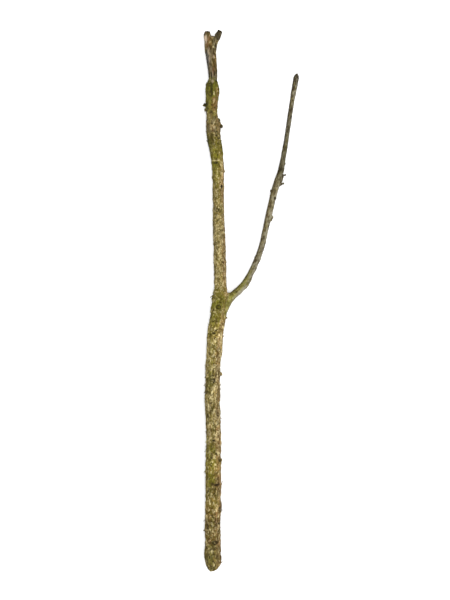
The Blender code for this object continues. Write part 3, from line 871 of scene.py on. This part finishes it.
    across = finish.vectors("MULTIPLY", noted("grain", "Vector"), (1.0, 0.0, 1.0))
    out = finish.vectors("LENGTH", across, output="Value")
    waves = out * 3.6 + patches * 8.0 + mottle * 2.5
    ring = finish.node("ShaderNodeMath", {"operation": "SINE"}, {0: waves})
    split = {"Vector": finish.vectors("NORMALIZE", across), "Scale": 2.2}
    apart = finish.node("ShaderNodeTexVoronoi", {"feature": "DISTANCE_TO_EDGE"}, split)
    end_wood = finish.layered(
        CUT_WOOD,
        (CUT_RING, rising(ring, -0.4, 1.0) * 0.5),
        (CREVICE_AND_PAINTED_SHADE, rising(apart, 0.05, 0.0) * rising(patches, 0.4, 0.5)),
        (DULL_OLIVE, rising(grime, 0.52, 0.4) * 0.6),
        (CREVICE_AND_PAINTED_SHADE, rising(specks, 0.45, 0.3) * 0.6),
    )
    colour = finish.laid_over(colour, wood, bare)
    colour = finish.laid_over(colour, DAMP_SHARE, noted("damp"), "MULTIPLY")
    # Dark marks take the pit colour, painted shadow and painted edge shade among them.
    colour = finish.layered(colour, (PIT_AND_PAINTED_SHADE, noted("dark") * 0.9), (end_wood, noted("cut")))

    finish.feed(finish.surface.inputs["Base Color"], colour)
    finish.feed(finish.surface.inputs["Roughness"], 0.78 + 0.2 * mottle - 0.08 * bare)
    on_bark = (chip * 0.7 + fine_chip * 0.4 - gap * 0.5 - fine_gap * 0.3) * rough_here + specks * 0.5
    height = on_bark * (1.0 - bare) + (streaks + fibres) * bare
    relief = {"Strength": 0.8, "Distance": 0.45 * MM, "Height": height}
    finish.feed(finish.surface.inputs["Normal"], finish.node("ShaderNodeBump", {}, relief))
    finish.surface.inputs["Specular IOR Level"].default_value = 0.1
    return finish.material


skin = joined_limbs()
ease_the_crotch(skin)
work_the_bark(skin)
bark = bark_finish()
lower_stem = limb_of_skin(skin, "lower_stem", bark)
upper_stem = limb_of_skin(skin, "upper_stem", bark)
side_branch = limb_of_skin(skin, "side_branch", bark)
bpy.data.meshes.remove(skin)

# Here and there the bark lifts in thin curled flakes, crumbs cling to it in the damp places, and knobs
# are left where twigs broke off. A strip hangs at the right edge near the butt, and slivers stand up on
# the bare wood. Each is loose on the skin, so it is made by itself, in the colours of the skin there.

FLAKE_THICK = 0.35 * MM
SUNK = 0.1

# What is set down by chance keeps clear of the ground, and of the box's top and foot, by these.
OFF_GROUND = 4.0 * MM
OFF_TOP = 2.0 * MM
OFF_FOOT = 8.0 * MM

# Where a place is looked for by angle, a degree counts as this many millimetres.
MM_PER_DEGREE = 0.2

# How pale a part that is set down by chance may be.
PALENESS = (0.0, 0.0, 0.3)

# The flakes that can be made out: along, degrees round to the right from the top, length, width,
# lift in degrees, which way the free end points, how pale (dark where it is below 0).
SEEN_ON_LOWER_STEM = (
    (100, 56, 10, 5.2, 34, -1, -0.8), (70, -8, 5.4, 4.2, 10, 1, 1), (362, 0, 4.6, 5.4, 12, -1, 0.9),
    (206, 12, 3.4, 5, 14, -1, 1), (309, 14, 3.4, 6, 14, -1, 1), (131, 86, 4, 2, 30, 1, 0),
    (276, 84, 4.6, 2.4, 20, 1, 0.6), (254, -86, 5, 2.4, 14, -1, 0), (184, -88, 4, 2.2, 18, 1, 0.2),
    (63, -88, 3.6, 2.4, 18, -1, 0), (241, 9, 4.6, 3.6, 12, -1, 0.9),
)
SEEN_ON_UPPER_STEM = (
    (616, 4, 1.6, 6.8, 20, -1, 0.6), (735, -62, 4, 3, 14, 1, 0), (735, 58, 4, 3, 14, 1, 0),
    (598, 80, 4, 2.4, 18, 1, 0.8), (716, 20, 4, 2.4, 12, -1, 0.7), (643, 84, 4, 2.4, 16, 1, 0),
)


def curled_flake(length, width, lift, pointing, chance):
    """A thin ragged plate, fast at one end and curling up towards the other."""
    flake = bmesh.new()
    bmesh.ops.create_grid(flake, x_segments=3, y_segments=4, size=0.5)
    for vertex in flake.verts:
        across, ahead = vertex.co.x * 2, vertex.co.y + 0.5
        ragged = 1.0 + chance.uniform(-0.14, 0.14)
        half_wide = width / 2 * (1.0 - 0.35 * ahead ** 2) * ragged
        up = length * math.sin(math.radians(lift)) * ahead ** 1.6 - 0.12 * width * across ** 2
        vertex.co = Vector((across * half_wide, ahead * length * ragged * pointing, up)) * MM
    bmesh.ops.solidify(flake, geom=flake.faces[:], thickness=FLAKE_THICK)
    bmesh.ops.recalc_face_normals(flake, faces=flake.faces[:])
    return flake


# The ends of twigs that broke off long ago: along, to the right, height above the ground, half as wide,
# how much longer than wide, how pale (dark where it is below 0).
TWIGS_OF_LOWER_STEM = ((98, 12.1, 10, 1, 6, -0.7), (91.4, 13, 10, 1.3, 0.7, -0.7))
TWIGS_OF_UPPER_STEM = (
    (667.6, 12.4, 10, 2.4, 1.2, -0.6), (676.8, 8.6, 10, 1.9, 1.5, -0.5), (700, -12.9, 10, 2, 1.1, -0.7),
)
TWIGS_OF_SIDE_BRANCH = (
    (526.7, 86.3, 10, 2.2, 1.2, 0.1), (587.5, 102.4, 8, 2.6, 3, 0), (594.5, 107.8, 8, 2.2, 0.6, -0.3),
    (581.6, 105, 8, 2.2, 0.7, -0.3),
)


def twig_end(half_wide, drawn_out, chance):
    """A rounded, uneven knob."""
    knob = bmesh.new()
    bmesh.ops.create_icosphere(knob, subdivisions=3, radius=half_wide * MM)
    shift = Vector((chance.uniform(0.0, 50.0), 0.0, 0.0))
    for vertex in knob.verts:
        vertex.co *= 1.0 + 0.3 * noise.noise(vertex.co / (0.6 * half_wide * MM) + shift)
    bmesh.ops.scale(knob, vec=(1.0, drawn_out, 1.0), verts=knob.verts)
    return knob


def crumb(size, chance):
    """A small lump of a few faces."""
    lump = bmesh.new()
    bmesh.ops.create_icosphere(lump, subdivisions=1, radius=size * MM)
    uneven = (chance.uniform(0.7, 1.3), chance.uniform(0.7, 1.5), chance.uniform(0.5, 0.9))
    bmesh.ops.scale(lump, vec=uneven, verts=lump.verts)
    return lump


def sliver(length, chance):
    """A splinter of wood that points up the branch."""
    splinter = bmesh.new()
    bmesh.ops.create_cone(
        splinter, cap_ends=True, segments=5, radius1=0.4 * MM, radius2=0.05 * MM, depth=length * MM
    )
    bmesh.ops.translate(splinter, vec=(0.0, 0.0, length * 0.4 * MM), verts=splinter.verts)
    turn = Matrix.Rotation(math.radians(chance.uniform(-86, -70)), 3, "X")
    bmesh.ops.rotate(splinter, matrix=turn, verts=splinter.verts)
    return splinter


class LooseBark:
    """All that lies loose on one limb's skin, gathered in one mesh."""

    def __init__(self, bark_piece, line_table, seed):
        mesh = bark_piece.data
        self.chance = np.random.default_rng(seed)
        self.places = read_vectors(mesh.vertices, "co")
        self.outward = read_vectors(mesh.vertex_normals)
        self.grain = read_vectors(mesh.attributes["grain"].data)
        self.notes = {}
        for layer in mesh.attributes:
            if layer.data_type == "FLOAT":
                self.notes[layer.name] = np.empty(len(self.places), np.float32)
                layer.data.foreach_get("value", self.notes[layer.name])
        self.line, _ = fine_line(line_table)
        self.heading = np.gradient(self.line, axis=0)
        self.gathered = bmesh.new()
        self.sites = []
        self.local = []
        self.pale = []

    def sites_where(self, wanted, count):
        """A number of places on the skin picked by chance."""
        clear = (self.places[:, 2] > OFF_GROUND) & (self.places[:, 2] < SOLIDS_TOP - OFF_TOP)
        clear &= (self.places[:, 1] > SOLIDS_BOX[0][1] + OFF_FOOT) & (self.outward[:, 2] > -0.3)
        return self.chance.choice(np.flatnonzero(wanted & clear), count, replace=False)

    def site_at(self, along, degrees):
        """The place on the skin a distance along and an angle round to the right from the top."""
        angle = np.arctan2(self.grain[:, 0], self.grain[:, 2])
        around = np.degrees(np.abs(angle - math.radians(degrees)))
        return int((np.abs(self.grain[:, 1] - along) + around * MM_PER_DEGREE).argmin())

    def set_flakes(self, table):
        """Sets each flake of a table at its place."""
        for along, degrees, length, width, lift, pointing, pale in table:
            flake = curled_flake(length, width, lift, pointing, self.chance)
            self.set_down(flake, self.site_at(along, degrees), SUNK, pale)

    def set_twig_ends(self, table):
        """Sets each twig end of a table at its place, in the colours of the skin nearest to it."""
        for along, right, height, half_wide, drawn_out, pale in table:
            place = from_foot((right, along, height))
            site = int(np.linalg.norm(self.places - np.array(place), axis=1).argmin())
            self.set_down(twig_end(half_wide, drawn_out, self.chance), site, 0.0, pale, place)

    def scatter(self, flakes, longest, crumbs):
        """Flakes anywhere on the bark, and crumbs where it is damp and green."""
        chance = self.chance
        barky = self.notes["bare"] < 0.2
        for site in self.sites_where(barky, flakes):
            length = chance.uniform(0.4, 1.0) * longest
            width = length * chance.uniform(0.5, 0.8)
            lift = chance.uniform(8, 24)
            flake = curled_flake(length, width, lift, chance.choice((-1, 1)), chance)
            self.set_down(flake, site, SUNK, chance.choice(PALENESS))
        for site in self.sites_where(barky & (self.notes["green"] > 0.3), crumbs):
            lump = crumb(chance.uniform(0.35, 0.7), chance)
            self.set_down(lump, site, SUNK, chance.choice(PALENESS))

    def set_slivers(self, count):
        """Slivers anywhere on the bare wood."""
        for site in self.sites_where(self.notes["bare"] > 0.9, count):
            self.set_down(sliver(self.chance.uniform(2.0, 5.0), self.chance), site, 2 * SUNK)

    def set_down(self, part, site, sink, pale=0.0, place=None):
        """Lays a part on the skin, along the limb and a little sunk in, or at a given place."""
        outward = Vector(self.outward[site])
        along = (self.places[site][1] - FOOT[1]) / MM
        ahead = Vector([np.interp(along, self.line[:, 1], self.heading[:, k]) for k in range(3)])
        across = ahead.cross(outward).normalized()
        turn = Matrix((across, outward.cross(across).normalized(), outward)).transposed().to_4x4()
        local = [vertex.co / MM for vertex in part.verts]
        place = place or Vector(self.places[site]) - outward * sink * MM
        part.transform(Matrix.Translation(place) @ turn)
        add_shape(self.gathered, part)
        self.sites += [site] * len(local)
        self.pale += [pale] * len(local)
        self.local += local

    def gathered_piece(self, name, finish):
        """The gathered mesh as a piece, with the skin's notes at each part's own place."""
        for vertex in self.gathered.verts:
            vertex.co.z = min(vertex.co.z, SOLIDS_TOP + SPARE_HEIGHT)
        mesh = mesh_of(self.gathered, name)
        sites = np.array(self.sites)
        for key, values in self.notes.items():
            kept = np.zeros(len(sites)) if key in ("crack", "hollow") else values[sites]
            if key == "pale":
                kept = np.clip(self.pale, 0.0, 1.0)
            if key == "dark":
                kept = -np.clip(self.pale, -1.0, 0.0)
            note(mesh, key, kept)
        note(mesh, "grain", self.grain[sites] + np.array(self.local))
        as_piece(mesh, name, finish)


on_lower_stem = LooseBark(lower_stem, STEM_LINE, 5)
on_lower_stem.set_flakes(SEEN_ON_LOWER_STEM)
on_lower_stem.set_twig_ends(TWIGS_OF_LOWER_STEM)
on_lower_stem.scatter(130, 6.0, 160)
on_lower_stem.gathered_piece("lower_stem_loose_bark", bark)

on_upper_stem = LooseBark(upper_stem, STEM_LINE, 6)
on_upper_stem.set_flakes(SEEN_ON_UPPER_STEM)
on_upper_stem.set_twig_ends(TWIGS_OF_UPPER_STEM)
on_upper_stem.scatter(80, 4.0, 180)
on_upper_stem.set_slivers(26)
on_upper_stem.gathered_piece("upper_stem_loose_bark", bark)

on_side_branch = LooseBark(side_branch, SIDE_LINE, 7)
on_side_branch.set_twig_ends(TWIGS_OF_SIDE_BRANCH)
on_side_branch.scatter(40, 2.6, 60)
on_side_branch.gathered_piece("side_branch_loose_bark", bark)

# The floor is a plain pale sheet that runs far past the branch.
FLOOR_REACH = 4.0
floor_shape = bmesh.new()
bmesh.ops.create_grid(floor_shape, x_segments=1, y_segments=1, size=FLOOR_REACH)
bmesh.ops.translate(floor_shape, verts=floor_shape.verts, vec=(0.0, 0.0, -0.3 * MM))
floor = placed("floor", mesh_of(floor_shape, "floor"))
floor_finish = Finish("pale_floor")
floor_finish.surface.inputs["Base Color"].default_value = (0.9, 0.9, 0.9, 1.0)
floor_finish.surface.inputs["Roughness"].default_value = 0.9
floor.data.materials.append(floor_finish.material)

# The light is an even white surround, with a broad soft lamp high up and a little to the right.
world = bpy.data.worlds.new("surround")
bpy.context.scene.world = world
world.use_nodes = True
surround = world.node_tree.nodes["Background"]
surround.inputs["Color"].default_value = (1.0, 1.0, 1.0, 1.0)
surround.inputs["Strength"].default_value = 1.12
LAMP_PLACE = Vector((0.35, 0.1, 2.3))
lamp_light = bpy.data.lights.new("soft_lamp", "AREA")
lamp_light.shape = "SQUARE"
lamp_light.size = 1.8
lamp_light.energy = 56.0
lamp = placed("soft_lamp", lamp_light)
lamp.location = LAMP_PLACE
lamp.rotation_euler = LAMP_PLACE.to_track_quat("Z", "Y").to_euler()

# The camera looks straight down on the branch, with its butt at the foot of the picture.
LENS = 100.0
PICTURE_HEIGHT = 0.9
SENSOR = 36.0
BRANCH_HEIGHT = 12.0 * MM
CAMERA_RIGHT = -38.25 * MM
CAMERA_ALONG = 0.75 * MM
camera_data = bpy.data.cameras.new("camera")
camera_data.lens = LENS
camera_data.sensor_width = SENSOR
camera = placed("camera", camera_data)
camera_height = PICTURE_HEIGHT * LENS / SENSOR + BRANCH_HEIGHT
camera.location = (CAMERA_RIGHT, CAMERA_ALONG, camera_height)
bpy.context.scene.camera = camera
bpy.context.scene.view_settings.view_transform = "Standard"
